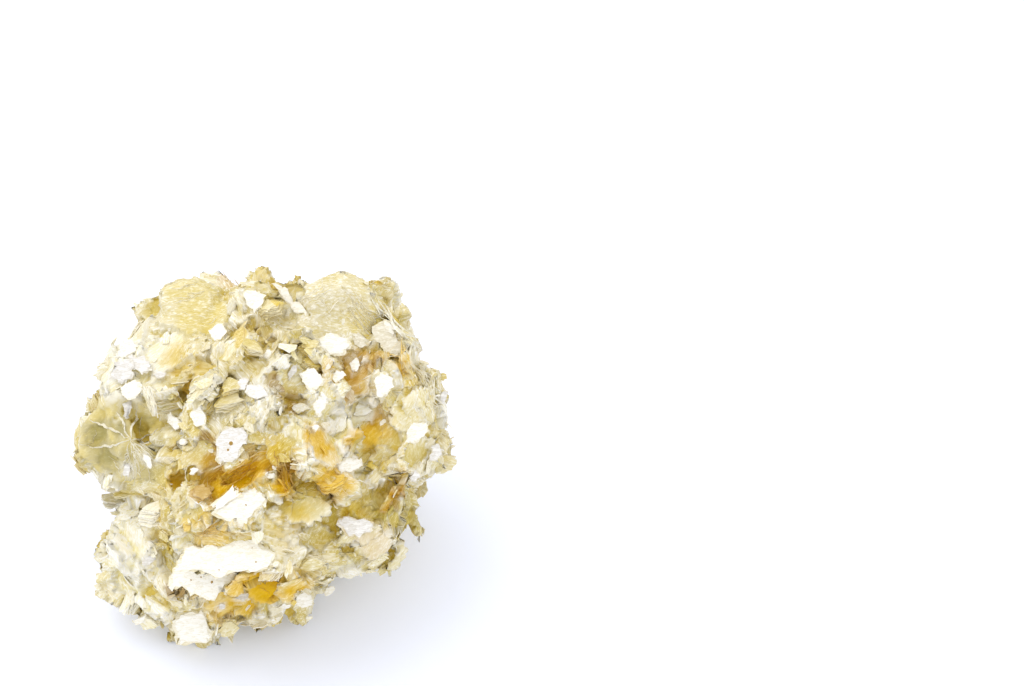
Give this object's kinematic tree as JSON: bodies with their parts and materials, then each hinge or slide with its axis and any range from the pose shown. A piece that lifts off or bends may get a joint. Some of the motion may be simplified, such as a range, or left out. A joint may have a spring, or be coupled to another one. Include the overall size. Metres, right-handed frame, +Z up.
{
  "type": "mica crystal cluster",
  "caption": "Palm-sized natural cluster of intergrown mica crystals: layered pale gold books and flaky plates with amber stains, on a flat broken base.",
  "frame": {"origin": "on the flat broken face that the cluster rests on, under the middle of its outline", "axes": "+Z up from the resting face; -Y towards the side with the broad plate over the front foot, which faces the viewer; +X to the viewer's right"},
  "size_m": [0.0503, 0.0443, 0.0427],
  "materials": {
    "mica": "pearly cleavage faces, see-through in thin flakes, straw to pale gold with amber iron stains"
  },
  "bodies": {
    "root": {"mica_cluster": "mica"}
  },
  "joints": []
}
